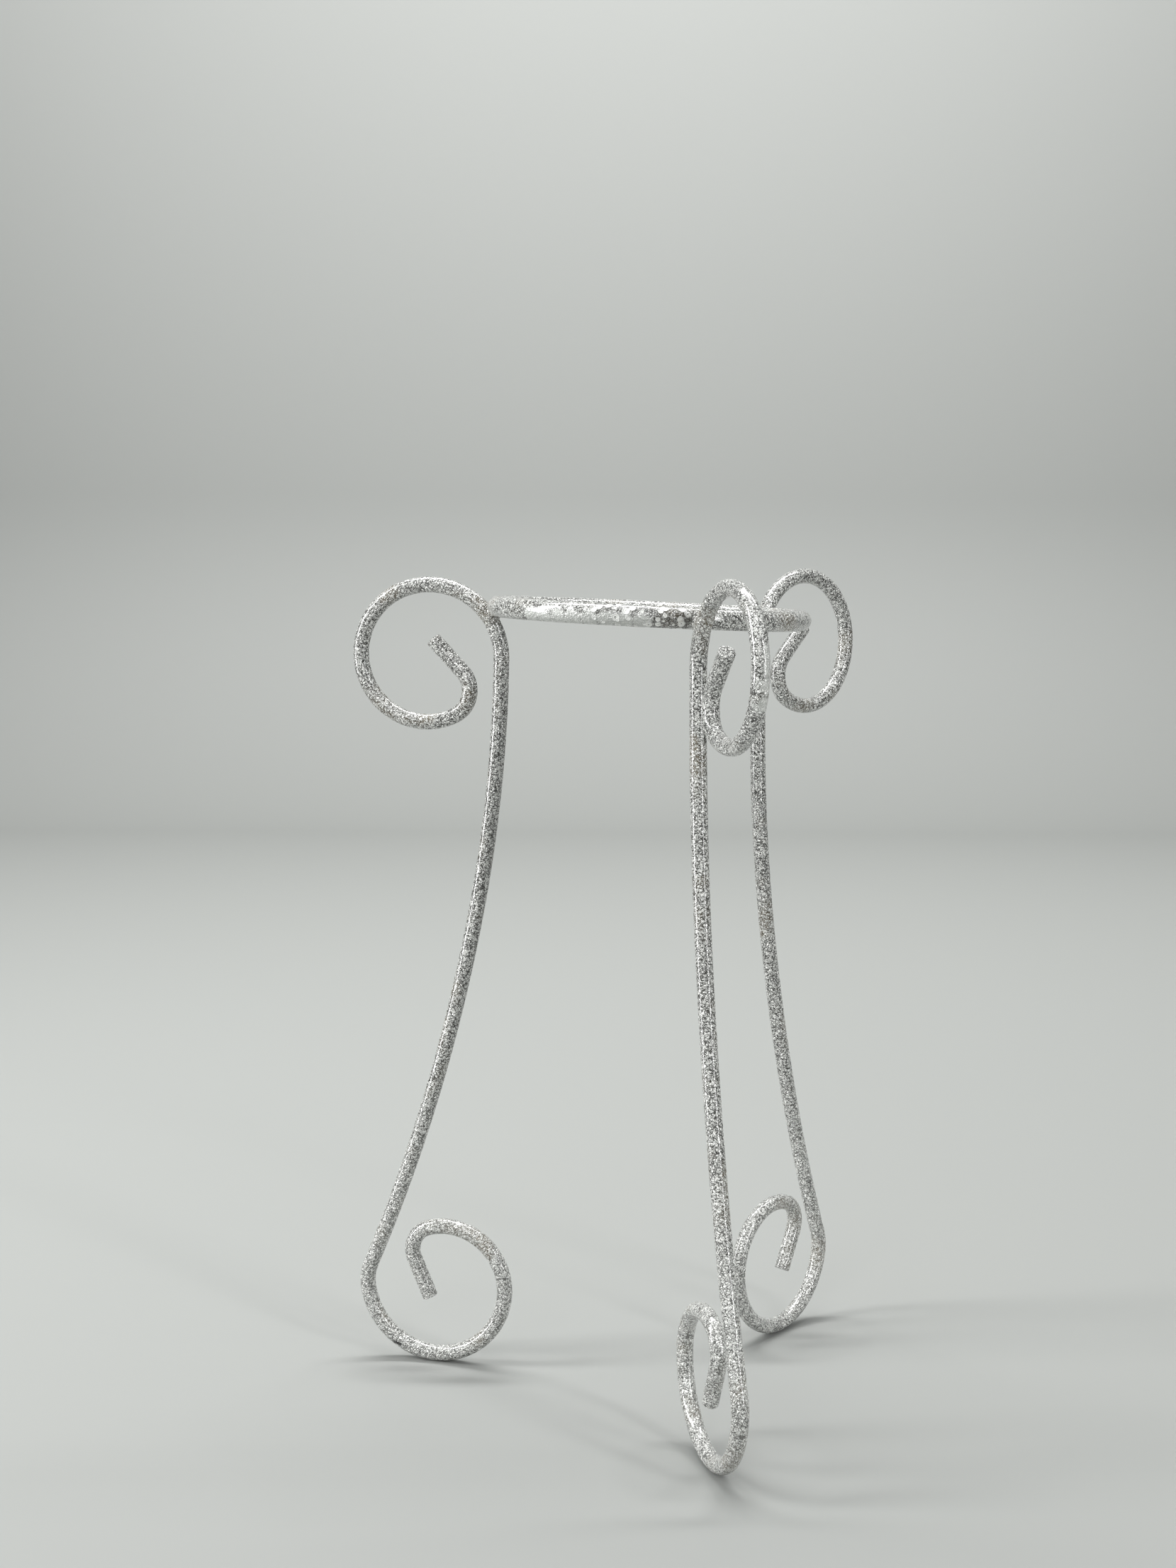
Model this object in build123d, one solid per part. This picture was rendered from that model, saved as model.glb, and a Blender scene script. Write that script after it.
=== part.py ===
"""Three-legged ring stand of bent round rod, with scroll tops and scroll feet.

Millimetres, +Z up. The origin is on the floor, straight under the ring's centre. Each leg is one rod bent in
a plane through the stand's axis: a neck that carries the ring, a scroll above it and a scroll foot below it.
"""
from build123d import *
import os
from dataclasses import dataclass
from math import cos, degrees, radians, sin, sqrt, tan

# Rods
LEG_ROD = 6.35  # quarter inch
RING_ROD = 7.94  # five sixteenths of an inch
END_ROUNDING = 0.6  # paint and filing round the cut ends

# Ring, measured to the rod's centre line
RING_RADIUS = 58.5
RING_HEIGHT = 305.2
RING_RISE_LEFT = 2.5  # degrees that the ring climbs towards -X
RING_RISE_BACK = 1.3  # degrees that the ring climbs towards +Y
BUTT_AZIMUTH = -84.0  # degrees, where the ring's two ends meet
BUTT_GAP = 1.6
BUTT_CROWN = 0.18  # how far the butt weld stands proud of the rod

# Welds between the necks and the ring
WELD_GAP = 0.1
WELD_RADIUS = 3.7

# Bends of a leg as (centre-line radius, turn in degrees). Positive turns lean the rod outwards.
NECK_RADIUS = 29.0
NECK_TURN = 57.5
SCROLL_BENDS = [(30.2, 57.0), (27.1, 182.0), (11.0, 108.0)]
SCROLL_TAIL = 17.5
UPPER_STEM_RADIUS = 584.0
UPPER_STEM_LENGTH = 99.6
LOWER_STEM_RADIUS = 729.0
LOWER_STEM_LENGTH = 156.2
ANKLE_RADIUS = 18.4
FOOT_START = [(18.4, 8.8), (29.6, 158.0)]  # the second bend stands on the floor
FOOT_CURL_TURN = 122.0
FOOT_TIP = (9.8, 96.0)


@dataclass(frozen=True)
class Leg:
    """One leg's place round the ring, and how its hand bending differs from the others."""

    azimuth: float  # degrees from +X, anticlockwise from above
    stem_extra: float = 0.0  # added to the upper stem
    lean: float = 0.0  # degrees that the whole leg tips outwards at the top
    scroll_twist: float = 0.0  # degrees that the scroll is turned about the neck
    foot_twist: float = 0.0  # degrees that the foot is turned about the ankle
    foot_curl: float = 24.9  # radius of the bend over the foot's top
    foot_tail: float = 17.0


LEGS = {
    "left": Leg(azimuth=167.9, lean=-1.0, foot_twist=-2.8),
    "front": Leg(
        azimuth=-74.9, stem_extra=-2.6, lean=-0.2, scroll_twist=2.3, foot_twist=0.8, foot_curl=22.9, foot_tail=17.8
    ),
    "back": Leg(azimuth=42.7, stem_extra=5.7, lean=2.7, scroll_twist=2.7, foot_twist=6.0),
}


def bent_run(start, heading, bends, tail=0.0):
    """Tangent arcs and a straight tail, one after another, in the leg's flat X-Y plane."""
    edges = []
    for radius, turn in bends:
        edges.append(JernArc(start=start, tangent=heading, radius=radius, arc_size=turn))
        start, heading = edges[-1] @ 1, edges[-1] % 1
    if tail:
        edges.append(Line(start, start + heading * tail))
    return edges


def rod_along(edges, diameter):
    """A round rod that follows the edges."""
    path = Wire([edge.edge() for edge in edges])
    section = Plane(origin=path @ 0, z_dir=path % 0) * Circle(diameter / 2)
    return sweep(section, path=path)


def rounded_end(rod, end_point):
    """Rounds the rod's cut end at end_point."""
    rim = rod.edges().filter_by(GeomType.CIRCLE).sort_by_distance(end_point)[0]
    return fillet(rim, END_ROUNDING)


def stem_bends(leg):
    """The stem's bends from the neck down, ending with the rod upright at the ankle."""
    upper_turn = degrees((UPPER_STEM_LENGTH + leg.stem_extra) / UPPER_STEM_RADIUS)
    lower_turn = degrees(LOWER_STEM_LENGTH / LOWER_STEM_RADIUS)
    return [
        (UPPER_STEM_RADIUS, upper_turn),
        (LOWER_STEM_RADIUS, lower_turn),
        (ANKLE_RADIUS, -upper_turn - lower_turn),
    ]


def ring_point(azimuth):
    """The ring's centre-line point at an azimuth, as (distance from the axis, height above the floor)."""
    turn = radians(azimuth)
    slope = -cos(turn) * tan(radians(RING_RISE_LEFT)) + sin(turn) * tan(radians(RING_RISE_BACK))
    reach = RING_RADIUS / sqrt(1 + slope * slope)
    return reach, RING_HEIGHT + reach * slope


def flat_leg(leg):
    """The leg's rod in its own X-Y plane, X outwards and Y up, from the upright point under the neck."""
    up, down = Vector(0, 1), Vector(0, -1)
    scroll_bends = [(radius, -turn) for radius, turn in [(NECK_RADIUS, NECK_TURN)] + SCROLL_BENDS]
    scroll_run = bent_run(Vector(0, 0), up, scroll_bends, SCROLL_TAIL)
    stem_run = bent_run(Vector(0, 0), down, stem_bends(leg))
    ankle = stem_run[-1] @ 1
    foot_bends = FOOT_START + [(leg.foot_curl, FOOT_CURL_TURN), FOOT_TIP]
    foot_run = bent_run(ankle, down, [(radius, -turn) for radius, turn in foot_bends], leg.foot_tail)

    scroll = Rot(0, leg.scroll_twist, 0) * rounded_end(rod_along(scroll_run, LEG_ROD), scroll_run[-1] @ 1)
    foot = rounded_end(rod_along(foot_run, LEG_ROD), foot_run[-1] @ 1)
    foot = Pos(*ankle) * Rot(0, leg.foot_twist, 0) * Pos(*-ankle) * foot
    stem = rod_along(stem_run, LEG_ROD)
    lean = Rot(0, 0, -leg.lean)
    return lean * (scroll + stem + foot), floor_centre(foot_run, leg)


def floor_centre(foot_run, leg):
    """The centre of the bend that stands on the floor, after the leg's lean."""
    return foot_run[1].edge().arc_center.rotate(Axis.Z, -leg.lean)


def leg_seat(leg, floor_bend_centre):
    """Where the flat leg's zero point goes: on the floor below, and a weld's gap from the ring at the neck."""
    floor_bend_radius = FOOT_START[1][0]
    height = floor_bend_radius + LEG_ROD / 2 - floor_bend_centre.Y
    neck_centre_height = height - NECK_RADIUS * sin(radians(leg.lean))
    ring_reach, ring_height = ring_point(leg.azimuth)
    spacing = NECK_RADIUS + LEG_ROD / 2 + RING_ROD / 2 + WELD_GAP
    rise = ring_height - neck_centre_height
    neck_centre_reach = ring_reach + sqrt(spacing * spacing - rise * rise)
    reach = neck_centre_reach - NECK_RADIUS * cos(radians(leg.lean))
    return reach, height, Vector(neck_centre_reach, 0, neck_centre_height)


def make_leg(leg):
    """The leg in place, and the middle of its weld gap."""
    flat, floor_bend_centre = flat_leg(leg)
    reach, height, neck_centre = leg_seat(leg, floor_bend_centre)
    ring_reach, ring_height = ring_point(leg.azimuth)
    towards_ring = (Vector(ring_reach, 0, ring_height) - neck_centre).normalized()
    weld_centre = neck_centre + towards_ring * (NECK_RADIUS + LEG_ROD / 2 + WELD_GAP / 2)
    solid = Rot(0, 0, leg.azimuth) * Pos(reach, 0, height) * Rot(90, 0, 0) * flat
    return solid, weld_centre.rotate(Axis.Z, leg.azimuth)


def ring_arc(start_azimuth, sweep_angle, diameter):
    """A stretch of rod that follows the ring."""
    tilt = Plane(
        origin=(0, 0, RING_HEIGHT),
        x_dir=(1, 0, -tan(radians(RING_RISE_LEFT))),
        z_dir=(tan(radians(RING_RISE_LEFT)), -tan(radians(RING_RISE_BACK)), 1),
    )
    section = Plane.XZ * Pos(RING_RADIUS, 0) * Circle(diameter / 2)
    stretch = revolve(section, axis=Axis.Z, revolution_arc=sweep_angle)
    return tilt.location * Rot(0, 0, start_azimuth) * stretch


def make_ring():
    """The ring's rod, open where its two ends meet, and the butt weld that closes it."""
    gap_angle = degrees(BUTT_GAP / RING_RADIUS)
    ring = ring_arc(BUTT_AZIMUTH + gap_angle / 2, 360 - gap_angle, RING_ROD)
    bead = ring_arc(BUTT_AZIMUTH - gap_angle / 2, gap_angle, RING_ROD + 2 * BUTT_CROWN)
    rims = bead.edges().filter_by(GeomType.CIRCLE)
    return ring, fillet([rim for rim in rims if rim.radius < RING_ROD], BUTT_CROWN * 0.8)


def weld_bead(centre, leg, ring):
    """Weld metal between a neck and the ring, cut face to face with both."""
    return Pos(*centre) * Sphere(WELD_RADIUS) - leg - ring


def build():
    """All nodes of the stand by name."""
    ring, ring_butt_weld = make_ring()
    nodes = {"ring": ring, "ring_butt_weld": ring_butt_weld}
    for side, leg in LEGS.items():
        solid, weld_centre = make_leg(leg)
        nodes[f"{side}_leg"] = solid
        nodes[f"{side}_weld"] = weld_bead(weld_centre, solid, ring)
    return nodes


os.makedirs("parts", exist_ok=True)
for name, node in build().items():
    export_step(node, f"parts/{name}.step")
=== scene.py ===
"""Three-legged ring stand of bent round rod, in its vein-textured silver coat, on a pale studio floor.

Metres, +Z up. The origin is on the floor, straight under the ring's centre.
"""

import logging
from dataclasses import dataclass, field
from enum import Enum
from math import cos, degrees, pi, radians, sin, sqrt, tan

import bmesh
import bpy
from mathutils import Matrix, Vector


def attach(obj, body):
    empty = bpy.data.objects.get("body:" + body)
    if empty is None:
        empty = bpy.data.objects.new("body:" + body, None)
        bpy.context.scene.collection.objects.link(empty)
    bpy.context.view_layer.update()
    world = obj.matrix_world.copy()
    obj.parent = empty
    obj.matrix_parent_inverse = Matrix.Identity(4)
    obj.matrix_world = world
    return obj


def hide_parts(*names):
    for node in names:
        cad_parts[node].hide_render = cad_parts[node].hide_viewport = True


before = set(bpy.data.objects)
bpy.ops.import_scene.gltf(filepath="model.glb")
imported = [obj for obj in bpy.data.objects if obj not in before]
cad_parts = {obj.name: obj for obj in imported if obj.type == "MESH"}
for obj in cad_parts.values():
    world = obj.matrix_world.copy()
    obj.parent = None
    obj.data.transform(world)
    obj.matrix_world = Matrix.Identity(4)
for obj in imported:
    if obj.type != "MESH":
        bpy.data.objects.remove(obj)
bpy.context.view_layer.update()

log = logging.getLogger("ring_stand")

MM = 0.001

# Rods
LEG_ROD = 6.35 * MM
RING_ROD = 7.94 * MM
END_ROUNDING = 0.6 * MM

# Ring, measured to the rod's centre line
RING_RADIUS = 58.5 * MM
RING_HEIGHT = 305.2 * MM
RING_RISE_LEFT = 2.5  # degrees that the ring climbs towards -X
RING_RISE_BACK = 1.3  # degrees that the ring climbs towards +Y
BUTT_AZIMUTH = -84.0  # degrees, where the ring's two ends meet
BUTT_GAP = 1.6 * MM

WELD_GAP = 0.1 * MM  # between a neck and the ring

# Bends of a leg as (centre-line radius, turn in degrees). Positive turns lean the rod outwards.
NECK_RADIUS = 29.0 * MM
NECK_TURN = 57.5
SCROLL_BENDS = ((30.2 * MM, 57.0), (27.1 * MM, 182.0), (11.0 * MM, 108.0))
SCROLL_TAIL = 17.5 * MM
UPPER_STEM_RADIUS = 584.0 * MM
UPPER_STEM_LENGTH = 99.6 * MM
LOWER_STEM_RADIUS = 729.0 * MM
LOWER_STEM_LENGTH = 156.2 * MM
ANKLE_RADIUS = 18.4 * MM
FOOT_START = ((18.4 * MM, 8.8), (29.6 * MM, 158.0))  # the second bend stands on the floor
FOOT_CURL_TURN = 122.0
FOOT_TIP = (9.8 * MM, 96.0)

# Places in millimetres of a chip under the left foot, and of a smooth run down the front scroll's outer limb
FOOT_CHIP = ((-102.0, 18.5, 7.0), (-101.3, 18.1, 6.7), (-100.6, 17.8, 6.4), (-99.8, 17.5, 6.2))
SCROLL_RUN = ((36.4, -115.0, 293.0), (36.0, -115.9, 287.0), (35.1, -115.8, 281.0), (33.8, -113.6, 275.0))

RING_BODY = "root"


# ---------------------------------------------------------------- working by hand in the modeller


def select_only(*pieces: bpy.types.Object) -> None:
    """Deselects everything, then selects these pieces and makes the last one active.

    Args:
        pieces: the objects to select.
    """
    bpy.ops.object.select_all(action="DESELECT")
    for piece in pieces:
        piece.select_set(True)
    bpy.context.view_layer.objects.active = pieces[-1]


def apply_modifier(piece: bpy.types.Object, kind: str, **settings: object) -> None:
    """Adds a modifier to a piece and applies it at once.

    Args:
        piece: the object to change.
        kind: the modifier's type, such as "DISPLACE".
        settings: the modifier's own settings by name.
    """
    select_only(piece)
    modifier = piece.modifiers.new(kind.title(), kind)
    for name, value in settings.items():
        setattr(modifier, name, value)
    bpy.ops.object.modifier_apply(modifier=modifier.name)


def tidy_shell(piece: bpy.types.Object) -> None:
    """Merges a finished shell's doubles and turns its faces outwards.

    Args:
        piece: the object whose mesh is closed.
    """
    select_only(piece)
    bpy.ops.object.mode_set(mode="EDIT")
    bpy.ops.mesh.select_all(action="SELECT")
    bpy.ops.mesh.remove_doubles(threshold=0.000001)
    bpy.ops.mesh.normals_make_consistent(inside=False)
    bpy.ops.object.mode_set(mode="OBJECT")
    bpy.ops.object.shade_smooth_by_angle(angle=radians(38))


def drop_edge_points(piece: bpy.types.Object) -> None:
    """Dissolves points that only divide an edge, where a cut leaves two faces meeting along a bent line.

    Args:
        piece: the object whose mesh was cut.
    """
    select_only(piece)
    bpy.ops.object.mode_set(mode="EDIT")
    bpy.ops.mesh.select_mode(type="VERT")
    bpy.ops.mesh.select_all(action="DESELECT")
    shape = bmesh.from_edit_mesh(piece.data)
    for vertex in shape.verts:
        vertex.select_set(len(vertex.link_edges) == 2)
    bmesh.update_edit_mesh(piece.data)
    bpy.ops.mesh.dissolve_verts()
    bpy.ops.object.mode_set(mode="OBJECT")


def lumps(name: str, size: float) -> bpy.types.Texture:
    """A soft cloud texture for the unevenness of a thick coat.

    Args:
        name: the texture's name.
        size: width of one lump in metres.

    Returns:
        The texture.
    """
    texture = bpy.data.textures.new(name, "CLOUDS")
    texture.noise_scale = size
    texture.noise_depth = 1
    return texture


def sink(piece: bpy.types.Object, texture: bpy.types.Texture, depth: float) -> None:
    """Presses a texture into a piece, never outwards.

    Args:
        piece: the object to change.
        texture: the lumps.
        depth: the deepest hollow in metres.
    """
    apply_modifier(
        piece, "DISPLACE", texture=texture, texture_coords="LOCAL", mid_level=1.0, strength=depth
    )


@dataclass
class BentRod:
    """A round rod modelled from one rim, which is spun round each bend in turn."""

    name: str
    diameter: float
    start: Vector
    heading: Vector
    sides: int = 32
    step: float = 0.62 * MM  # length of one stretch of the rod
    piece: bpy.types.Object = field(init=False)
    position: Vector = field(init=False)
    start_heading: Vector = field(init=False)

    def __post_init__(self) -> None:
        """Adds the rim at the start, in edit mode with only the rim selected."""
        bpy.ops.object.select_all(action="DESELECT")
        bpy.ops.mesh.primitive_circle_add(
            vertices=self.sides,
            radius=self.diameter / 2,
            fill_type="NOTHING",
            location=self.start,
            rotation=self.heading.to_track_quat("Z", "Y").to_euler(),
        )
        self.piece = bpy.context.object
        self.piece.name = self.piece.data.name = self.name
        bpy.ops.object.transform_apply(location=True, rotation=True, scale=True)
        bpy.ops.object.mode_set(mode="EDIT")
        bpy.ops.mesh.select_all(action="SELECT")
        self.position = self.start.copy()
        self.start_heading = self.heading.copy()

    def bend(self, radius: float, turn: float, normal: Vector, step: float | None = None) -> None:
        """Spins the open rim round one bend.

        Args:
            radius: the bend's centre-line radius in metres.
            turn: degrees, anticlockwise about the normal.
            normal: the direction square to the bend's plane.
            step: length of one stretch, if not the rod's own.
        """
        side = normal.cross(self.heading) * (1 if turn > 0 else -1)
        centre = self.position + side * radius
        steps = max(3, round(radius * radians(abs(turn)) / (step or self.step)))
        # The spin tool turns clockwise about its axis.
        bpy.ops.mesh.spin(steps=steps, angle=-radians(turn), center=centre, axis=normal)
        rotation = Matrix.Rotation(radians(turn), 3, normal)
        self.position = centre + rotation @ (self.position - centre)
        self.heading = (rotation @ self.heading).normalized()

    def run(self, length: float) -> None:
        """Carries the open rim straight on.

        Args:
            length: metres along the heading.
        """
        steps = max(1, round(length / self.step))
        for _ in range(steps):
            self.advance(length / steps, 1.0)

    def advance(self, length: float, scale: float) -> None:
        """Extrudes the open rim once and scales it about its own middle.

        Args:
            length: metres along the heading.
            scale: the new rim's size over the last one's.
        """
        bpy.ops.mesh.extrude_region_move(TRANSFORM_OT_translate={"value": self.heading * length})
        self.position = self.position + self.heading * length
        if scale != 1.0:
            bpy.ops.transform.resize(value=(scale,) * 3, center_override=self.position)

    def cut_end(self, rounding: float) -> None:
        """Closes the open rim with a square cut whose edge is rounded.

        Args:
            rounding: the rounded edge's radius in metres.
        """
        radius, stages = self.diameter / 2, 5
        for stage in range(stages):
            near, far = (radians(90 * k / stages) for k in (stage, stage + 1))
            scale = (radius - rounding * (1 - cos(far))) / (radius - rounding * (1 - cos(near)))
            self.advance(rounding * (sin(far) - sin(near)), scale)
        for scale in (0.76, 0.68, 0.52):
            self.advance(0.0, scale)
        bpy.ops.mesh.edge_face_add()
        bpy.ops.mesh.poke()

    def back_to_start(self) -> None:
        """Picks up the first rim again, to carry the rod on the other way."""
        bpy.ops.mesh.select_all(action="DESELECT")
        shape = bmesh.from_edit_mesh(self.piece.data)
        for vertex in shape.verts:
            offset = vertex.co - self.start
            near = offset.length < self.diameter and abs(offset.dot(self.start_heading)) < 0.00001
            vertex.select_set(near)
        shape.select_flush(True)
        bmesh.update_edit_mesh(self.piece.data)
        self.position = self.start.copy()
        self.heading = -self.start_heading

    def finish(self) -> bpy.types.Object:
        """Leaves edit mode and turns the faces outwards.

        Returns:
            The finished piece.
        """
        bpy.ops.object.mode_set(mode="OBJECT")
        tidy_shell(self.piece)
        return self.piece


# ---------------------------------------------------------------- finishes


class Graph:
    """A node tree that is laid down one node at a time."""

    def __init__(self, tree: bpy.types.NodeTree) -> None:
        """Keeps the tree to build in.

        Args:
            tree: a material's or a group's node tree.
        """
        self.tree = tree

    def node(self, kind: str, inputs: dict | None = None, **settings: object) -> bpy.types.Node:
        """Adds one node.

        Args:
            kind: the node's type name without its "ShaderNode" start.
            inputs: socket name or number to a value or another node's socket.
            settings: the node's own properties by name.

        Returns:
            The node.
        """
        made = self.tree.nodes.new("ShaderNode" + kind)
        for name, value in settings.items():
            setattr(made, name, value)
        for socket, value in (inputs or {}).items():
            if isinstance(value, bpy.types.NodeSocket):
                self.tree.links.new(value, made.inputs[socket])
            else:
                made.inputs[socket].default_value = value
        return made

    def math(self, operation: str, *values: object, clamp: bool = False) -> bpy.types.NodeSocket:
        """One sum on numbers.

        Args:
            operation: the Math node's operation.
            values: one to three sockets or numbers.
            clamp: whether the answer is held to 0 to 1.

        Returns:
            The answer's socket.
        """
        made = self.node("Math", dict(enumerate(values)), operation=operation, use_clamp=clamp)
        return made.outputs[0]

    def step(self, value: object, low: float, high: float) -> bpy.types.NodeSocket:
        """A smooth step from 0 at low to 1 at high, or falling if low is the larger.

        Args:
            value: the socket to read.
            low: where the step starts.
            high: where it ends.

        Returns:
            The step's socket.
        """
        first, last = (0.0, 1.0) if low < high else (1.0, 0.0)
        inputs = {0: value, 1: min(low, high), 2: max(low, high), 3: first, 4: last}
        return self.node("MapRange", inputs, interpolation_type="SMOOTHSTEP").outputs[0]

    def noise(self, vector: object, scale: float, detail: float = 2.0) -> bpy.types.Node:
        """A noise texture.

        Args:
            vector: the socket with the place.
            scale: waves in a metre.
            detail: octaves.

        Returns:
            The node, whose outputs are the value and a colour.
        """
        return self.node("TexNoise", {"Vector": vector, "Scale": scale, "Detail": detail})

    def blend(self, factor: object, first: object, second: object, kind: str = "MIX") -> bpy.types.NodeSocket:
        """A blend of two colours.

        Args:
            factor: how much of the second one.
            first: a colour or its socket.
            second: a colour or its socket.
            kind: the Mix node's blending.

        Returns:
            The blend's socket.
        """
        made = self.node("Mix", {0: factor, 6: first, 7: second}, data_type="RGBA", blend_type=kind)
        return made.outputs[2]


def new_group(
    name: str, inputs: dict[str, str], outputs: dict[str, str]
) -> tuple[Graph, dict, bpy.types.Node]:
    """Starts a shader node group with named sockets.

    Args:
        name: the group's name.
        inputs: socket name to socket type, both as the interface has them.
        outputs: the same for what it puts out.

    Returns:
        The group's graph, its inputs by name, and its output node.
    """
    tree = bpy.data.node_groups.new(name, "ShaderNodeTree")
    for direction, sockets in (("INPUT", inputs), ("OUTPUT", outputs)):
        for socket, kind in sockets.items():
            tree.interface.new_socket(socket, in_out=direction, socket_type="NodeSocket" + kind)
    entry, exit_node = tree.nodes.new("NodeGroupInput"), tree.nodes.new("NodeGroupOutput")
    return Graph(tree), {s.name: s for s in entry.outputs if s.name}, exit_node


def patch_group() -> bpy.types.NodeTree:
    """A ragged round patch at a place on the piece.

    Returns:
        The group, with a mask that is 1 inside the patch.
    """
    graph, given, made = new_group(
        "placed_patch",
        {"Vector": "Vector", "Centre": "Vector", "Radius": "Float", "Raggedness": "Float"},
        {"Mask": "Float"},
    )
    away = graph.node("VectorMath", {0: given["Vector"], 1: given["Centre"]}, operation="DISTANCE")
    share = graph.math("DIVIDE", away.outputs["Value"], given["Radius"])
    waves = graph.noise(given["Vector"], 420.0, 3.0).outputs[0]
    ragged = graph.math("MULTIPLY", graph.math("SUBTRACT", waves, 0.5), given["Raggedness"])
    mask = graph.step(graph.math("ADD", share, ragged), 1.12, 0.72)
    graph.tree.links.new(mask, made.inputs["Mask"])
    return graph.tree


def coat_group() -> bpy.types.NodeTree:
    """The vein coat: pale round cells crowded together, with dark broken veins in between.

    Returns:
        The group, with the coat's colour, roughness, metal share and relief.
    """
    graph, given, made = new_group(
        "vein_coat",
        {
            "Vector": "Vector",
            "Cells per Metre": "Float",
            "Cell Colour": "Color",
            "Shade Colour": "Color",
            "Vein Colour": "Color",
            "Bare Colour": "Color",
            "Rust Colour": "Color",
            "Veining": "Float",
            "Smooth": "Float",
            "Spotted": "Float",
            "Worn": "Float",
            "Chipped": "Float",
        },
        {"Color": "Color", "Roughness": "Float", "Metallic": "Float", "Height": "Float"},
    )
    place, crowd = given["Vector"], given["Cells per Metre"]

    # The place is pushed about by half a cell, so that the cells are rounded and no two are alike.
    push = graph.node("TexNoise", {"Vector": place, "Scale": crowd, "Detail": 1.0}).outputs["Color"]
    push = graph.node("VectorMath", {0: push, 1: (0.5, 0.5, 0.5)}, operation="SUBTRACT").outputs[0]
    reach = graph.math("DIVIDE", 1.1, crowd)
    push = graph.node("VectorMath", {0: push, "Scale": reach}, operation="SCALE").outputs[0]
    pushed = graph.node("VectorMath", {0: place, 1: push}, operation="ADD").outputs[0]

    cell = {"Vector": pushed, "Scale": crowd, "Randomness": 0.9}
    walls = graph.node("TexVoronoi", cell, feature="DISTANCE_TO_EDGE").outputs["Distance"]
    cells = graph.node("TexVoronoi", cell, feature="F1")
    tone = graph.node("SeparateColor", {0: cells.outputs["Color"]}).outputs[0]

    # Veins run between the cells and break off where the coat closed over them.
    breaks = graph.noise(place, 780.0, 2.0).outputs[0]
    open_veins = graph.math("ADD", breaks, graph.math("MULTIPLY", given["Veining"], 0.2))
    vein_width = graph.math("MULTIPLY", graph.step(open_veins, 0.5, 0.85), 0.1)
    line = graph.math("DIVIDE", walls, graph.math("ADD", vein_width, 0.004))
    vein = graph.step(line, 1.1, 0.5)
    vein = graph.math("MULTIPLY", vein, graph.step(open_veins, 0.58, 0.68))

    # Short curled worms lie across the cells in two layers, and the coat is drawn down into them.
    furrow: object = 0.0
    for share, far in ((0.75, (0.0, 0.0, 0.0)), (1.05, (3.1, 1.7, 5.3))):
        moved = graph.node("VectorMath", {0: place, 1: far}, operation="ADD").outputs[0]
        scale = graph.math("MULTIPLY", crowd, share)
        curls = graph.node("TexNoise", {"Vector": moved, "Scale": scale, "Detail": 0.8})
        off_line = graph.math("ABSOLUTE", graph.math("SUBTRACT", curls.outputs[0], 0.5))
        kept = graph.step(graph.noise(moved, 1150.0 * share, 1.0).outputs[0], 0.46, 0.54)
        worm = graph.math("MULTIPLY", graph.step(off_line, 0.046, 0.026), kept)
        vein = graph.math("MAXIMUM", vein, worm)
        furrow = graph.math("MAXIMUM", furrow, graph.step(off_line, 0.11, 0.0))
    vein = graph.math("MULTIPLY", vein, given["Veining"])
    grain = graph.noise(place, 2600.0, 2.0).outputs[0]

    # Round spots on the smooth silver, each with a raised rim and a hollow middle. The rim's colour carries a
    # painted highlight and the hollow's a painted shade.
    spots = graph.node("TexVoronoi", {"Vector": place, "Scale": 350.0, "Randomness": 0.8}, feature="F1")
    size = graph.node("SeparateColor", {0: spots.outputs["Color"]}).outputs[1]
    spot_place = graph.math("DIVIDE", spots.outputs["Distance"], graph.math("MULTIPLY_ADD", size, 0.36, 0.2))
    disc = graph.math("MULTIPLY", graph.step(spot_place, 1.06, 0.92), given["Spotted"])
    rim_and_painted_highlight = graph.math("MULTIPLY", graph.step(spot_place, 0.6, 0.85), disc)
    hollow_and_painted_shade = graph.math("MULTIPLY", graph.step(spot_place, 0.34, 0.12), disc)

    smooth = graph.math("MAXIMUM", given["Smooth"], disc)
    textured = graph.math("SUBTRACT", 1.0, smooth, clamp=True)

    cell_colour = graph.blend(graph.step(tone, 0.2, 0.9), given["Cell Colour"], given["Shade Colour"])
    tint = graph.step(graph.noise(place, 55.0, 2.0).outputs[0], 0.5, 0.68)
    vein_colour = graph.blend(graph.math("MULTIPLY", tint, 0.7), given["Vein Colour"], given["Rust Colour"])
    cell_colour = graph.blend(graph.math("MULTIPLY", tint, 0.12), cell_colour, given["Rust Colour"])
    coat = graph.blend(vein, cell_colour, vein_colour)
    coat = graph.blend(graph.math("MULTIPLY", given["Spotted"], 0.5), coat, given["Vein Colour"])
    silver = graph.blend(graph.math("MULTIPLY", disc, 0.45), given["Bare Colour"], given["Cell Colour"])
    # Painted highlight on the spots' raised rims and painted shade in their hollows.
    silver = graph.blend(graph.math("MULTIPLY", rim_and_painted_highlight, 0.35), silver, (0.88, 0.89, 0.87, 1.0))
    silver = graph.blend(graph.math("MULTIPLY", hollow_and_painted_shade, 0.45), silver, given["Vein Colour"])
    colour = graph.blend(smooth, coat, silver)
    blotch = graph.step(graph.noise(place, 900.0, 3.0).outputs[0], 0.45, 0.7)
    rust = graph.math("MULTIPLY", given["Worn"], graph.math("MULTIPLY_ADD", blotch, 0.8, 0.2))
    colour = graph.blend(rust, colour, given["Rust Colour"])
    colour = graph.blend(given["Chipped"], colour, (0.008, 0.008, 0.008, 1.0))

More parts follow.
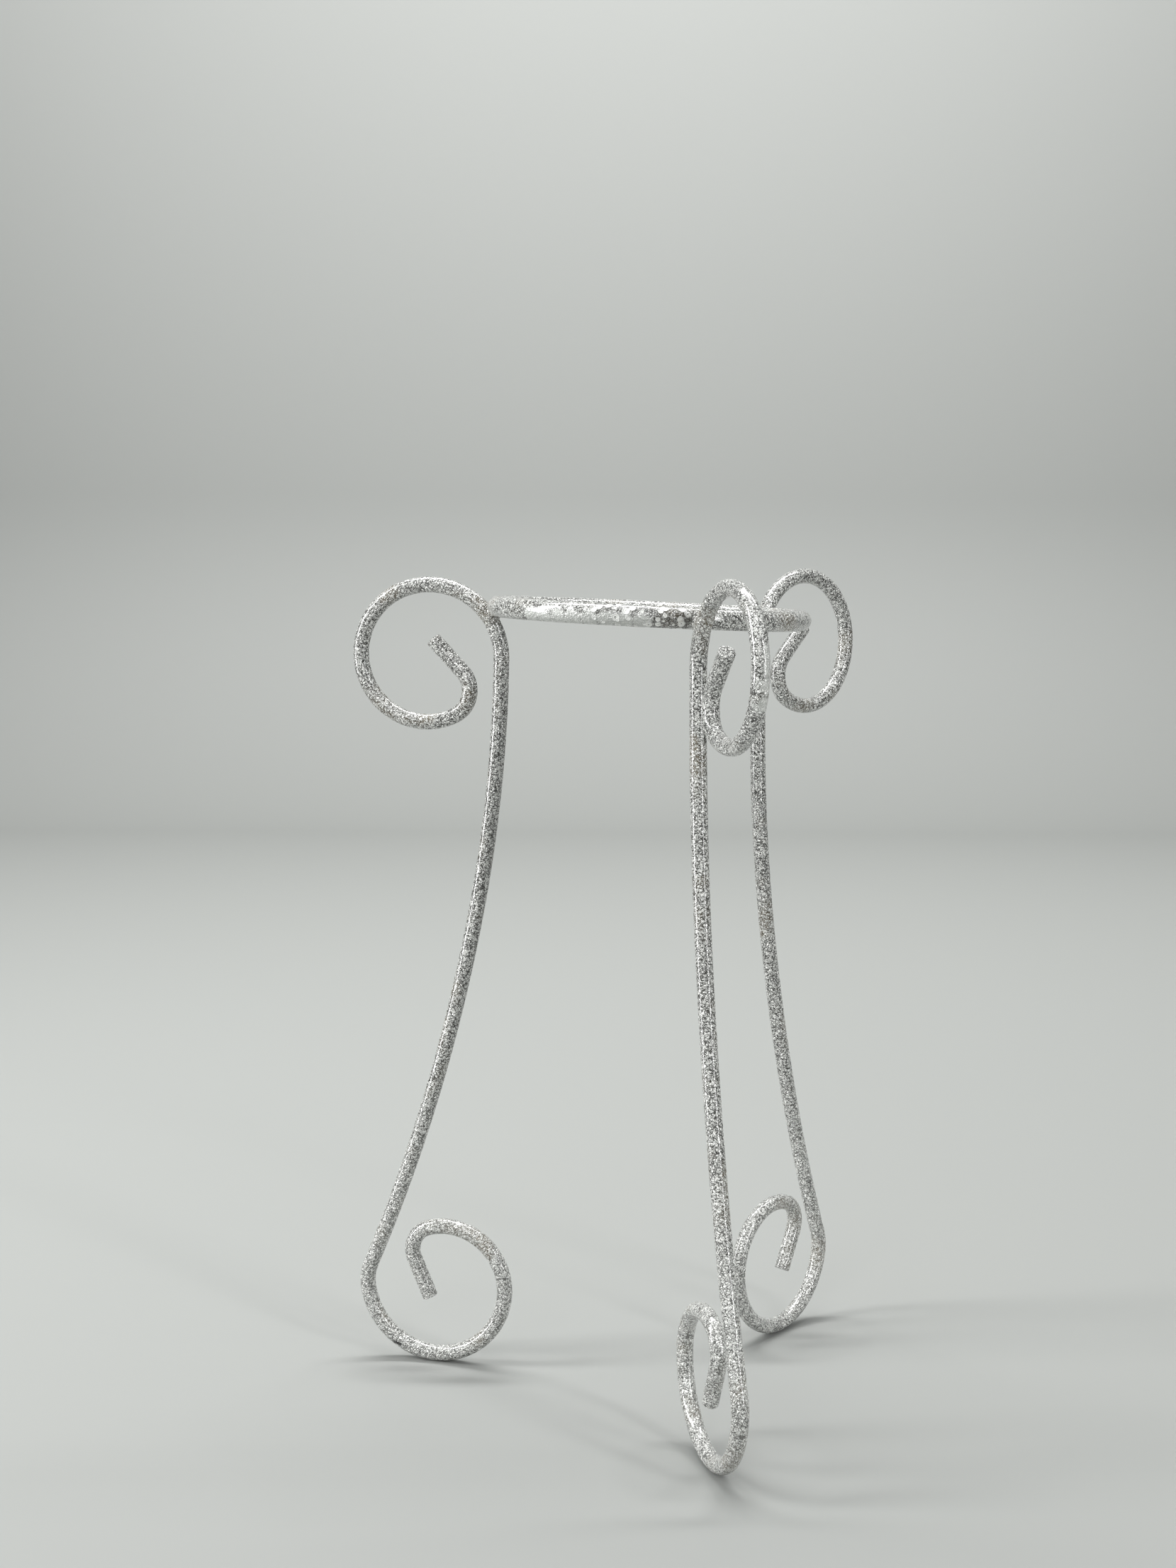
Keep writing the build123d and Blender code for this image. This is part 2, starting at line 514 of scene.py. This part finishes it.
    furrows = graph.math("MULTIPLY_ADD", furrow, 0.8, graph.math("MULTIPLY", vein, 0.5))
    risen = graph.math("MULTIPLY_ADD", graph.step(walls, 0.0, 0.32), 0.8, graph.math("MULTIPLY", grain, 0.45))
    coat_height = graph.math("SUBTRACT", risen, furrows)
    raised_spot = graph.math("MULTIPLY_ADD", rim_and_painted_highlight, 0.5, graph.math("MULTIPLY", disc, 0.5))
    spot_height = graph.math("SUBTRACT", raised_spot, hollow_and_painted_shade)
    height = graph.math("MULTIPLY_ADD", coat_height, textured, graph.math("MULTIPLY", spot_height, smooth))
    height = graph.math("MULTIPLY_ADD", given["Chipped"], -2.0, height)

    roughness = graph.math("MULTIPLY_ADD", vein, 0.22, 0.26)
    roughness = graph.math("MULTIPLY_ADD", smooth, 0.12, roughness, clamp=True)
    roughness = graph.math("MULTIPLY_ADD", rust, 0.25, roughness, clamp=True)
    bare = graph.math("MULTIPLY", smooth, graph.math("MULTIPLY_ADD", disc, -0.35, 0.4))
    metal = graph.math("MULTIPLY_ADD", graph.math("MULTIPLY", vein, textured), 0.3, bare, clamp=True)
    results = {"Color": colour, "Roughness": roughness, "Metallic": metal, "Height": height}
    for socket, value in results.items():
        graph.tree.links.new(value, made.inputs[socket])
    return graph.tree


class PatchKind(Enum):
    """What a placed patch does to the coat."""

    SMOOTH = "Smooth"
    SPOTTED = "Spotted"
    WORN = "Worn"
    CHIPPED = "Chipped"


@dataclass(frozen=True)
class Patch:
    """A place on a piece where the coat differs."""

    kind: PatchKind
    centre: Vector
    radius: float
    amount: float = 1.0
    raggedness: float = 1.2


@dataclass(frozen=True)
class VeinCoat:
    """The silver-white vein coat over the rod, as one piece wears it."""

    name: str
    cells: float = 820.0  # cells in a metre
    veining: float = 1.0
    smooth: float = 0.0
    patches: tuple[Patch, ...] = ()
    cell_colour: tuple = (0.90, 0.905, 0.87, 1.0)
    shade_colour: tuple = (0.72, 0.73, 0.70, 1.0)
    vein_colour: tuple = (0.045, 0.045, 0.039, 1.0)
    bare_colour: tuple = (0.50, 0.51, 0.49, 1.0)
    rust_colour: tuple = (0.15, 0.12, 0.07, 1.0)

    def mask(self, graph: Graph, place: bpy.types.NodeSocket, kind: PatchKind) -> object:
        """Every patch of one kind together.

        Args:
            graph: the material's graph.
            place: the socket with the place on the piece.
            kind: which patches to gather.

        Returns:
            A mask's socket, or the amount everywhere if there are no such patches.
        """
        gathered: object = self.smooth if kind is PatchKind.SMOOTH else 0.0
        for patch in (p for p in self.patches if p.kind is kind):
            spot = graph.node(
                "Group",
                {
                    "Vector": place,
                    "Centre": patch.centre,
                    "Radius": patch.radius,
                    "Raggedness": patch.raggedness,
                },
                node_tree=bpy.data.node_groups["placed_patch"],
            ).outputs["Mask"]
            gathered = graph.math("MAXIMUM", graph.math("MULTIPLY", spot, patch.amount), gathered)
        return gathered

    def material(self) -> bpy.types.Material:
        """The coat's material.

        Returns:
            A new material, ready for a piece.
        """
        material = bpy.data.materials.new(self.name)
        material.use_nodes = True
        material.node_tree.nodes.clear()
        graph = Graph(material.node_tree)
        place = graph.node("TexCoord").outputs["Object"]
        height_above_floor = graph.node("SeparateXYZ", {0: place}).outputs[2]
        # Near the floor the veins are fainter, so the coat is whiter there.
        above_feet = graph.step(height_above_floor, 0.055, 0.13)
        veining = graph.math("MULTIPLY", graph.math("MULTIPLY_ADD", above_feet, 0.15, 0.85), self.veining)
        coat = graph.node(
            "Group",
            {
                "Vector": place,
                "Cells per Metre": self.cells,
                "Cell Colour": self.cell_colour,
                "Shade Colour": self.shade_colour,
                "Vein Colour": self.vein_colour,
                "Bare Colour": self.bare_colour,
                "Rust Colour": self.rust_colour,
                "Veining": veining,
                **{kind.value: self.mask(graph, place, kind) for kind in PatchKind},
            },
            node_tree=bpy.data.node_groups["vein_coat"],
        )
        relief = graph.node("Bump", {"Height": coat.outputs["Height"], "Strength": 1.0, "Distance": 0.0007})
        shader = graph.node(
            "BsdfPrincipled",
            {
                "Base Color": coat.outputs["Color"],
                "Roughness": coat.outputs["Roughness"],
                "Metallic": coat.outputs["Metallic"],
                "Normal": relief.outputs["Normal"],
                "Coat Weight": 0.9,
                "Coat Roughness": 0.16,
                "Specular IOR Level": 0.75,
            },
        )
        out = graph.node("OutputMaterial")
        graph.tree.links.new(shader.outputs[0], out.inputs["Surface"])
        return material


@dataclass(frozen=True)
class PlainFinish:
    """One plain colour, for what isn't part of the object."""

    name: str
    colour: tuple
    roughness: float

    def material(self) -> bpy.types.Material:
        """The finish as a new material.

        Returns:
            A new material, ready for a piece.
        """
        material = bpy.data.materials.new(self.name)
        material.use_nodes = True
        shader = material.node_tree.nodes["Principled BSDF"]
        shader.inputs["Base Color"].default_value = self.colour
        shader.inputs["Roughness"].default_value = self.roughness
        return material


def dress(piece: bpy.types.Object, finish: VeinCoat, slot: str, *nodes: str) -> None:
    """Gives a piece its finish and its body, and hides the CAD nodes that it stands for.

    Args:
        piece: the finished mesh.
        finish: its coat.
        slot: not used.
        nodes: the CAD nodes that it replaces.
    """
    piece.data.materials.clear()
    piece.data.materials.append(finish.material())
    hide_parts(*nodes)
    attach(piece, RING_BODY)
    log.info("%s: %d faces", piece.name, len(piece.data.polygons))


# ---------------------------------------------------------------- the stand's own pieces


@dataclass
class Ring:
    """The ring that a bowl sits in: one rod bent round, and the weld that closes it."""

    radius: float = RING_RADIUS
    height: float = RING_HEIGHT
    rod: float = RING_ROD
    sides: int = 40
    butt_rounding: float = 0.25 * MM
    bead_crown: float = 0.17 * MM
    bead_root: float = 0.25 * MM  # how far the bead's edges lie below the rod's surface
    bead_overlap: float = 0.82  # half the bead's length over the gap
    orange_peel: float = 0.06 * MM

    def axes(self) -> tuple[Vector, Vector, Vector]:
        """The tilted ring's own X, Y and Z directions.

        Returns:
            The three directions, each one metre long.
        """
        up = Vector((tan(radians(RING_RISE_LEFT)), -tan(radians(RING_RISE_BACK)), 1.0)).normalized()
        across = Vector((1.0, 0.0, -tan(radians(RING_RISE_LEFT)))).normalized()
        return across, up.cross(across), up

    def point(self, azimuth: float) -> Vector:
        """The centre line's point at an angle round the ring.

        Args:
            azimuth: degrees round the ring.

        Returns:
            The point.
        """
        across, back, _ = self.axes()
        turn = radians(azimuth)
        return Vector((0, 0, self.height)) + (across * cos(turn) + back * sin(turn)) * self.radius

    def heading(self, azimuth: float) -> Vector:
        """The rod's direction at an angle round the ring, anticlockwise.

        Args:
            azimuth: degrees round the ring.

        Returns:
            The direction.
        """
        across, back, _ = self.axes()
        turn = radians(azimuth)
        return back * cos(turn) - across * sin(turn)

    def above(self, azimuth: float) -> tuple[float, float]:
        """The centre line above a line drawn outwards at an azimuth.

        Args:
            azimuth: degrees from +X, anticlockwise from above.

        Returns:
            Its distance from the axis and its height above the floor.
        """
        turn = radians(azimuth)
        slope = -cos(turn) * tan(radians(RING_RISE_LEFT)) + sin(turn) * tan(radians(RING_RISE_BACK))
        reach = self.radius / sqrt(1 + slope * slope)
        return reach, self.height + reach * slope

    def stretch(self, name: str, start: float, turn: float, step: float = 0.62 * MM) -> bpy.types.Object:
        """A closed stretch of the ring's rod.

        Args:
            name: the piece's name.
            start: degrees round the ring where it starts.
            turn: degrees that it covers.
            step: length of one stretch of the mesh.

        Returns:
            The finished mesh.
        """
        rod = BentRod(name, self.rod, self.point(start), self.heading(start), self.sides)
        rod.bend(self.radius, turn, self.axes()[2], step)
        rod.cut_end(self.butt_rounding)
        rod.back_to_start()
        rod.cut_end(self.butt_rounding)
        return rod.finish()

    def make_rod(self) -> bpy.types.Object:
        """The ring's rod, open where its two ends meet.

        Returns:
            The finished mesh.
        """
        # The rounded ends reach past the bend, so the bend stops that much short of the gap.
        gap = degrees((BUTT_GAP / 2 + self.butt_rounding) / self.radius)
        rod = self.stretch("ring_rod", BUTT_AZIMUTH + gap, 360 - 2 * gap)
        sink(rod, lumps("ring_peel", 1.7 * MM), self.orange_peel)
        return rod

    def make_bead(self) -> bpy.types.Object:
        """The butt weld: a low uneven band of filler between the ring's two ends.

        Returns:
            The finished mesh.
        """
        half = degrees(BUTT_GAP * self.bead_overlap / self.radius)
        start = BUTT_AZIMUTH - half
        bead = BentRod("ring_butt_bead", self.rod, self.point(start), self.heading(start), 48)
        stages = 12
        root = self.rod / 2 - self.bead_root
        size, length = root, 2 * radians(half) * self.radius / stages
        bpy.ops.transform.resize(value=(size / (self.rod / 2),) * 3, center_override=bead.position)
        for stage in range(1, stages + 1):
            bump = root + (self.bead_root + self.bead_crown) * sin(pi * stage / stages) ** 0.6
            bead.advance(length, bump / size)
            size = bump
        bpy.ops.mesh.edge_face_add()
        bpy.ops.mesh.poke()
        bead.back_to_start()
        bpy.ops.mesh.edge_face_add()
        bpy.ops.mesh.poke()
        piece = bead.finish()
        sink(piece, lumps("bead_lumps", 1.3 * MM), 0.22 * MM)
        return piece


@dataclass
class Leg:
    """One leg: a rod bent into a scroll, a neck, a long stem and a curled foot."""

    side: str
    azimuth: float  # degrees from +X, anticlockwise from above
    stem_extra: float = 0.0
    lean: float = 0.0  # degrees that the whole leg tips outwards at the top
    scroll_twist: float = 0.0
    foot_twist: float = 0.0
    foot_curl: float = 24.9 * MM  # radius of the bend over the foot's top
    foot_tail: float = 17.0 * MM
    orange_peel: float = 0.06 * MM

    def axes(self, twist: float = 0.0) -> tuple[Vector, Vector, Vector]:
        """The leg's outward, upward and square directions, turned about the upward one.

        Args:
            twist: degrees, as the scroll and the foot are turned.

        Returns:
            The three directions.
        """
        turn, lean = radians(self.azimuth), radians(self.lean)
        flat_out, flat_up = Vector((cos(turn), sin(turn), 0)), Vector((0, 0, 1))
        out = flat_out * cos(lean) - flat_up * sin(lean)
        up = flat_out * sin(lean) + flat_up * cos(lean)
        square = out.cross(up)
        angle = radians(twist)
        return out * cos(angle) - square * sin(angle), up, out * sin(angle) + square * cos(angle)

    def stem_bends(self) -> tuple[tuple[float, float], ...]:
        """The stem's bends from the neck down, ending with the rod upright at the ankle.

        Returns:
            Each bend as its radius in metres and its turn in degrees.
        """
        upper = degrees((UPPER_STEM_LENGTH + self.stem_extra) / UPPER_STEM_RADIUS)
        lower = degrees(LOWER_STEM_LENGTH / LOWER_STEM_RADIUS)
        return ((UPPER_STEM_RADIUS, upper), (LOWER_STEM_RADIUS, lower), (ANKLE_RADIUS, -upper - lower))

    def floor_centre_drop(self) -> float:
        """How far the floor bend's centre is below the upright point, with the leg's lean.

        Returns:
            Metres, downwards.
        """
        place, heading, centre = Vector((0, 0)), Vector((0, -1)), Vector((0, 0))
        foot = tuple((radius, -turn) for radius, turn in FOOT_START)
        for radius, turn in self.stem_bends() + foot:
            sign = 1 if turn > 0 else -1
            centre = place + Vector((-heading.y, heading.x)) * radius * sign
            rotation = Matrix.Rotation(radians(turn), 2)
            place, heading = centre + rotation @ (place - centre), rotation @ heading
        return -(Matrix.Rotation(-radians(self.lean), 2) @ centre).y

    def seat(self, ring: Ring) -> tuple[Vector, Vector]:
        """Where the leg stands: on the floor below, and a weld's gap from the ring at the neck.

        Args:
            ring: the ring that the leg carries.

        Returns:
            The upright point under the neck, and the middle of the weld.
        """
        lean = radians(self.lean)
        height = FOOT_START[1][0] + LEG_ROD / 2 + self.floor_centre_drop()
        neck_height = height - NECK_RADIUS * sin(lean)
        ring_reach, ring_height = ring.above(self.azimuth)
        spacing = NECK_RADIUS + LEG_ROD / 2 + RING_ROD / 2 + WELD_GAP
        rise = ring_height - neck_height
        neck_reach = ring_reach + sqrt(spacing * spacing - rise * rise)
        turn = radians(self.azimuth)
        out = Vector((cos(turn), sin(turn), 0))
        neck_centre = out * neck_reach + Vector((0, 0, neck_height))
        towards_ring = (out * ring_reach + Vector((0, 0, ring_height)) - neck_centre).normalized()
        foot_of_neck = out * (neck_reach - NECK_RADIUS * cos(lean)) + Vector((0, 0, height))
        return foot_of_neck, neck_centre + towards_ring * (NECK_RADIUS + LEG_ROD / 2 + WELD_GAP / 2)

    def neck_stub(self, ring: Ring) -> bpy.types.Object:
        """Only the neck, closed at both ends, for the weld to flow over.

        Args:
            ring: the ring that the leg carries.

        Returns:
            The finished mesh.
        """
        start, _ = self.seat(ring)
        _, up, square = self.axes()
        rod = BentRod(f"{self.side}_neck_stub", LEG_ROD, start, up, 48, 0.4 * MM)
        rod.bend(NECK_RADIUS, -NECK_TURN, square)
        rod.cut_end(END_ROUNDING)
        rod.back_to_start()
        rod.cut_end(END_ROUNDING)
        return rod.finish()

    def make(self, ring: Ring) -> bpy.types.Object:
        """The whole leg.

        Args:
            ring: the ring that the leg carries.

        Returns:
            The finished mesh.
        """
        start, _ = self.seat(ring)
        _, up, square = self.axes()
        rod = BentRod(f"{self.side}_leg_rod", LEG_ROD, start, -up)
        for radius, turn in self.stem_bends():
            rod.bend(radius, turn, square)
        _, _, foot_square = self.axes(self.foot_twist)
        for radius, turn in FOOT_START + ((self.foot_curl, FOOT_CURL_TURN), FOOT_TIP):
            rod.bend(radius, -turn, foot_square)
        rod.run(self.foot_tail - END_ROUNDING)
        rod.cut_end(END_ROUNDING)
        rod.back_to_start()
        _, _, scroll_square = self.axes(self.scroll_twist)
        for radius, turn in ((NECK_RADIUS, NECK_TURN),) + SCROLL_BENDS:
            rod.bend(radius, -turn, scroll_square)
        rod.run(SCROLL_TAIL - END_ROUNDING)
        rod.cut_end(END_ROUNDING)
        piece = rod.finish()
        sink(piece, lumps(f"{self.side}_leg_peel", 1.5 * MM), self.orange_peel)
        return piece


@dataclass
class NeckWeld:
    """The filler that joins a leg's neck to the ring, drawn out into hollow fillets."""

    leg: Leg
    bead: float = 3.3 * MM
    reach: float = 6.4 * MM
    grain: float = 0.22 * MM
    flow: int = 46  # rounds of smoothing

    def make(self, ring: Ring) -> bpy.types.Object:
        """The weld's mesh.

        Args:
            ring: the ring that it holds.

        Returns:
            The finished mesh.
        """
        _, centre = self.leg.seat(ring)
        neck = self.leg.neck_stub(ring)
        bar = ring.stretch(f"{self.leg.side}_ring_stub", self.leg.azimuth - 13, 26, 0.4 * MM)
        bpy.ops.object.select_all(action="DESELECT")
        bpy.ops.mesh.primitive_uv_sphere_add(segments=32, ring_count=20, radius=self.bead, location=centre)
        drop = bpy.context.object
        select_only(bar, drop, neck)
        bpy.ops.object.join()
        weld = bpy.context.object
        weld.name = weld.data.name = f"{self.leg.side}_neck_weld"
        apply_modifier(weld, "REMESH", mode="VOXEL", voxel_size=self.grain)
        apply_modifier(weld, "SMOOTH", factor=0.5, iterations=self.flow)
        sink(weld, lumps(f"{self.leg.side}_weld_lumps", 2.2 * MM), 0.12 * MM)
        bpy.ops.object.select_all(action="DESELECT")
        bpy.ops.mesh.primitive_ico_sphere_add(subdivisions=5, radius=self.reach, location=centre)
        limit = bpy.context.object
        apply_modifier(weld, "BOOLEAN", operation="INTERSECT", solver="EXACT", object=limit)
        bpy.data.objects.remove(limit)
        select_only(weld)
        bpy.ops.object.transform_apply(location=True, rotation=True, scale=True)
        tidy_shell(weld)
        drop_edge_points(weld)
        return weld


@dataclass
class RingStand:
    """The whole stand."""

    ring: Ring = field(default_factory=Ring)
    legs: tuple[Leg, ...] = (
        Leg("left", azimuth=167.9, lean=-1.0, foot_twist=-2.8),
        Leg(
            "front",
            azimuth=-74.9,
            stem_extra=-2.6 * MM,
            lean=-0.2,
            scroll_twist=2.3,
            foot_twist=0.8,
            foot_curl=22.9 * MM,
            foot_tail=17.8 * MM,
        ),
        Leg("back", azimuth=42.7, stem_extra=5.7 * MM, lean=2.7, scroll_twist=2.7, foot_twist=6.0),
    )

    def weld_wear(self, leg: Leg, radius: float, amount: float) -> Patch:
        """The brown tint that heat left round a weld.

        Args:
            leg: the leg whose weld it is.
            radius: metres.
            amount: 0 to 1.

        Returns:
            The patch.
        """
        return Patch(PatchKind.WORN, leg.seat(self.ring)[1], radius, amount)

    def on_ring(
        self, kind: PatchKind, azimuth: float, drop: float, radius: float, amount: float = 1.0
    ) -> Patch:
        """A patch on the ring's outer face.

        Args:
            kind: what it does to the coat.
            azimuth: degrees round the ring.
            drop: how far below the rod's middle it lies, in metres.
            radius: metres.
            amount: 0 to 1.

        Returns:
            The patch.
        """
        middle = self.ring.point(azimuth)
        outwards = (middle - Vector((0, 0, self.ring.height))).normalized()
        face = middle + outwards * sqrt((self.ring.rod / 2) ** 2 - drop * drop) - self.ring.axes()[2] * drop
        return Patch(kind, face, radius, amount, 0.9)

    def ring_patches(self) -> tuple[Patch, ...]:
        """The smooth and spotted stretch in front, the stained butt weld and the tints at the necks.

        Returns:
            The patches.
        """
        smooth = [
            self.on_ring(PatchKind.SMOOTH, angle, 2.2 * MM, 3.9 * MM, 0.84) for angle in range(-136, -88, 6)
        ]
        spotted = [
            self.on_ring(PatchKind.SPOTTED, angle, 1.0 * MM, 6.0 * MM) for angle in range(-107, -80, 5)
        ]
        stain = self.on_ring(PatchKind.WORN, BUTT_AZIMUTH - 0.5, 1.0 * MM, 4.6 * MM, 0.45)
        return (*smooth, *spotted, stain, *(self.weld_wear(leg, 6 * MM, 0.35) for leg in self.legs))

    def leg_patches(self, leg: Leg) -> tuple[Patch, ...]:
        """Where one leg's coat differs: at its weld, and by the leg's own marks.

        Args:
            leg: the leg.

        Returns:
            The patches.
        """
        marks = {
            "left": [Patch(PatchKind.CHIPPED, Vector(at) * MM, 0.78 * MM, 1.0, 0.5) for at in FOOT_CHIP],
            "front": [Patch(PatchKind.SMOOTH, Vector(at) * MM, 3.4 * MM, 0.8, 1.3) for at in SCROLL_RUN],
        }
        return (*marks.get(leg.side, ()), self.weld_wear(leg, 7 * MM, 0.3))

    def coats(self) -> dict[str, VeinCoat]:
        """Each piece's coat.

        Returns:
            The coats by the name of the CAD node that each piece stands for.
        """
        on_ring = self.ring_patches()
        coats = {
            "ring": VeinCoat("ring_coat", cells=760.0, patches=on_ring),
            "ring_butt_weld": VeinCoat("butt_weld_coat", veining=0.9, patches=on_ring),
        }
        for leg in self.legs:
            coats[f"{leg.side}_leg"] = VeinCoat(f"{leg.side}_leg_coat", patches=self.leg_patches(leg))
            heat = (self.weld_wear(leg, 7 * MM, 0.4),)
            coats[f"{leg.side}_weld"] = VeinCoat(f"{leg.side}_weld_coat", smooth=0.25, patches=heat)
        return coats

    def build(self) -> None:
        """Makes and dresses every piece."""
        coats = self.coats()
        dress(self.ring.make_rod(), coats["ring"], "rod_coat", "ring")
        dress(self.ring.make_bead(), coats["ring_butt_weld"], "weld_coat", "ring_butt_weld")
        for leg in self.legs:
            rod, weld = f"{leg.side}_leg", f"{leg.side}_weld"
            dress(leg.make(self.ring), coats[rod], "rod_coat", rod)
            dress(NeckWeld(leg).make(self.ring), coats[weld], "weld_coat", weld)


# ---------------------------------------------------------------- studio


@dataclass
class SoftBox:
    """A rectangular studio lamp that points at the stand."""

    name: str
    place: tuple[float, float, float]
    width: float
    height: float
    power: float
    target: tuple[float, float, float] = (0.0, 0.0, 0.17)

    def make(self) -> None:
        """Adds the lamp, unseen by the camera itself."""
        lamp = bpy.data.lights.new(self.name, "AREA")
        lamp.shape, lamp.size, lamp.size_y, lamp.energy = "RECTANGLE", self.width, self.height, self.power
        piece = bpy.data.objects.new(self.name, lamp)
        bpy.context.scene.collection.objects.link(piece)
        piece.location = self.place
        piece.rotation_euler = (Vector(self.target) - Vector(self.place)).to_track_quat("-Z", "Y").to_euler()
        piece.visible_camera = False


@dataclass
class Studio:
    """The pale floor and wall, the soft light and the camera."""

    half_width: float = 4.0
    wall_distance: float = 1.9
    cove: float = 0.5
    lamps: tuple[SoftBox, ...] = (
        SoftBox("window_left", (-1.3, -0.15, 0.7), 0.26, 1.5, 30.0),
        SoftBox("window_right", (0.95, -0.95, 0.55), 0.14, 1.3, 15.0),
        SoftBox("front_fill", (-0.5, -1.9, 1.1), 0.9, 0.9, 13.0),
        SoftBox("ceiling", (-0.1, 0.15, 1.6), 0.9, 0.9, 14.0),
        SoftBox("wall_wash", (0.0, 0.8, 2.3), 2.6, 0.5, 122.0, (0.0, 1.9, 1.0)),
    )

    def make_floor(self) -> None:
        """A floor that curves up into a wall behind the stand."""
        bpy.ops.object.select_all(action="DESELECT")
        bpy.ops.mesh.primitive_plane_add(size=2.0, location=(0, 0, 0))
        floor = bpy.context.object
        floor.name = floor.data.name = "studio_floor"
        floor.scale = (self.half_width, self.half_width, 1.0)
        bpy.ops.object.transform_apply(location=True, rotation=True, scale=True)
        bpy.ops.object.mode_set(mode="EDIT")
        bpy.ops.mesh.select_mode(type="EDGE")
        bpy.ops.mesh.select_all(action="DESELECT")
        shape = bmesh.from_edit_mesh(floor.data)
        for edge in shape.edges:
            edge.select_set(all(v.co.y > self.half_width * 0.99 for v in edge.verts))
        bmesh.update_edit_mesh(floor.data)
        back = self.wall_distance - self.half_width
        bpy.ops.transform.translate(value=(0, back, 0))
        bpy.ops.mesh.spin(
            steps=24, angle=-pi / 2, center=(0, self.wall_distance, self.cove), axis=(1, 0, 0)
        )
        bpy.ops.mesh.extrude_region_move(TRANSFORM_OT_translate={"value": (0, 0, 3.0)})
        bpy.ops.mesh.select_all(action="SELECT")
        bpy.ops.mesh.normals_make_consistent(inside=False)
        bpy.ops.mesh.select_mode(type="VERT")
        bpy.ops.object.mode_set(mode="OBJECT")
        bpy.ops.object.shade_smooth()
        floor.data.materials.append(PlainFinish("pale_paper", (0.22, 0.227, 0.218, 1.0), 0.7).material())

    def make_world(self) -> None:
        """An even, dim grey room."""
        world = bpy.data.worlds.new("room")
        world.use_nodes = True
        background = world.node_tree.nodes["Background"]
        background.inputs["Color"].default_value = (0.80, 0.83, 0.82, 1.0)
        background.inputs["Strength"].default_value = 0.17
        bpy.context.scene.world = world

    def make_camera(self) -> None:
        """A camera a little above the ring, tipped gently down."""
        lens = bpy.data.cameras.new("camera")
        lens.lens, lens.sensor_width, lens.sensor_fit = 43.48, 36.0, "AUTO"
        lens.clip_start, lens.clip_end = 0.05, 30.0
        camera = bpy.data.objects.new("camera", lens)
        bpy.context.scene.collection.objects.link(camera)
        tip, roll = Matrix.Rotation(radians(90 - 5.10), 4, "X"), Matrix.Rotation(radians(0.19), 4, "Z")
        camera.matrix_world = Matrix.Translation((-0.02345, -0.7358, 0.3044)) @ tip @ roll
        bpy.context.scene.camera = camera

    def build(self) -> None:
        """Makes the whole studio."""
        self.make_floor()
        self.make_world()
        for lamp in self.lamps:
            lamp.make()
        self.make_camera()
        bpy.context.scene.view_settings.view_transform = "Standard"


def main() -> None:
    """Builds the studio and the stand."""
    logging.basicConfig(level=logging.INFO, format="%(name)s: %(message)s")
    patch_group()
    coat_group()
    Studio().build()
    RingStand().build()


if __name__ == "__main__":
    main()
